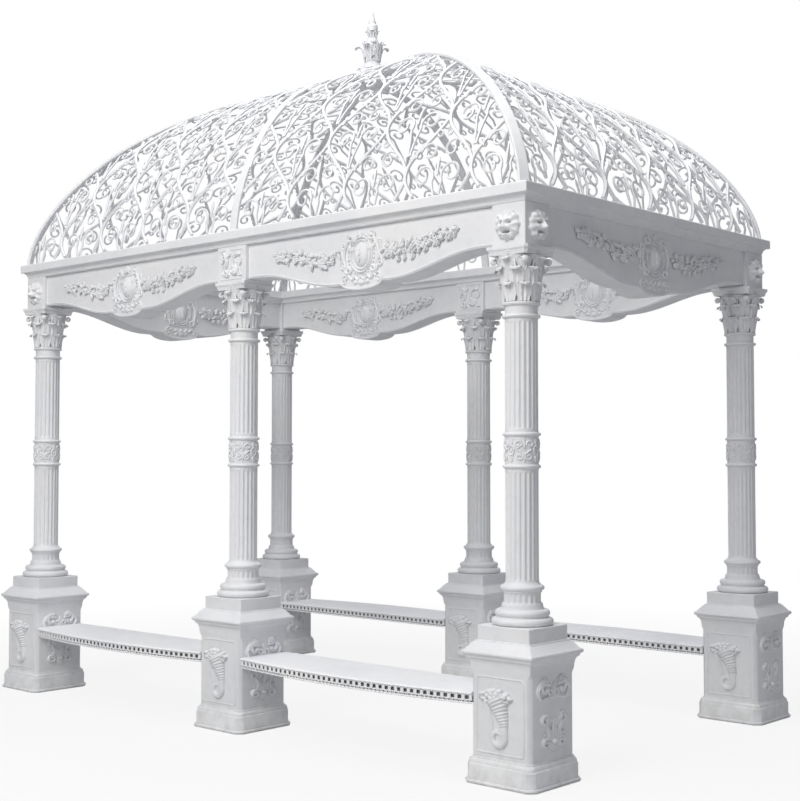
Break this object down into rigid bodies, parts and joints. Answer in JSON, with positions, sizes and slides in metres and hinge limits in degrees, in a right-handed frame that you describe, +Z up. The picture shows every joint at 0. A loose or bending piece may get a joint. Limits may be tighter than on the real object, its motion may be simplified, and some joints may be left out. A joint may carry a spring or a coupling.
{
  "type": "garden pavilion",
  "caption": "Long open garden pavilion with fluted columns on pedestals, benches along its sides and an open lattice dome on a wavy ornamented frieze.",
  "frame": {"origin": "centre of the plan, on the floor", "axes": "+Z up, +X along the long sides to the right-hand end, -Y out of the front long side"},
  "size_m": [4.618, 2.774, 4.592],
  "materials": {
    "white_paint": "satin white paint on cast iron"
  },
  "bodies": {
    "root": {"pedestal_front_left": "white_paint", "pedestal_front_middle": "white_paint", "pedestal_front_right": "white_paint", "pedestal_back_left": "white_paint", "pedestal_back_middle": "white_paint", "pedestal_back_right": "white_paint", "column_front_left": "white_paint", "column_front_middle": "white_paint", "column_front_right": "white_paint", "column_back_left": "white_paint", "column_back_middle": "white_paint", "column_back_right": "white_paint", "block_front_left": "white_paint", "block_front_middle": "white_paint", "block_front_right": "white_paint", "block_back_left": "white_paint", "block_back_middle": "white_paint", "block_back_right": "white_paint", "frieze_front_left": "white_paint", "frieze_front_right": "white_paint", "frieze_back_left": "white_paint", "frieze_back_right": "white_paint", "frieze_left_end": "white_paint", "frieze_right_end": "white_paint", "cornice_front": "white_paint", "cornice_back": "white_paint", "cornice_left": "white_paint", "cornice_right": "white_paint", "rib_front_left": "white_paint", "rib_front_middle": "white_paint", "rib_front_right": "white_paint", "rib_back_left": "white_paint", "rib_back_middle": "white_paint", "rib_back_right": "white_paint", "lattice_front_left": "white_paint", "lattice_front_right": "white_paint", "lattice_back_left": "white_paint", "lattice_back_right": "white_paint", "lattice_left_end": "white_paint", "lattice_right_end": "white_paint", "seat_front_left": "white_paint", "seat_front_right": "white_paint", "seat_back_left": "white_paint", "seat_back_right": "white_paint", "finial": "white_paint"}
  },
  "joints": []
}
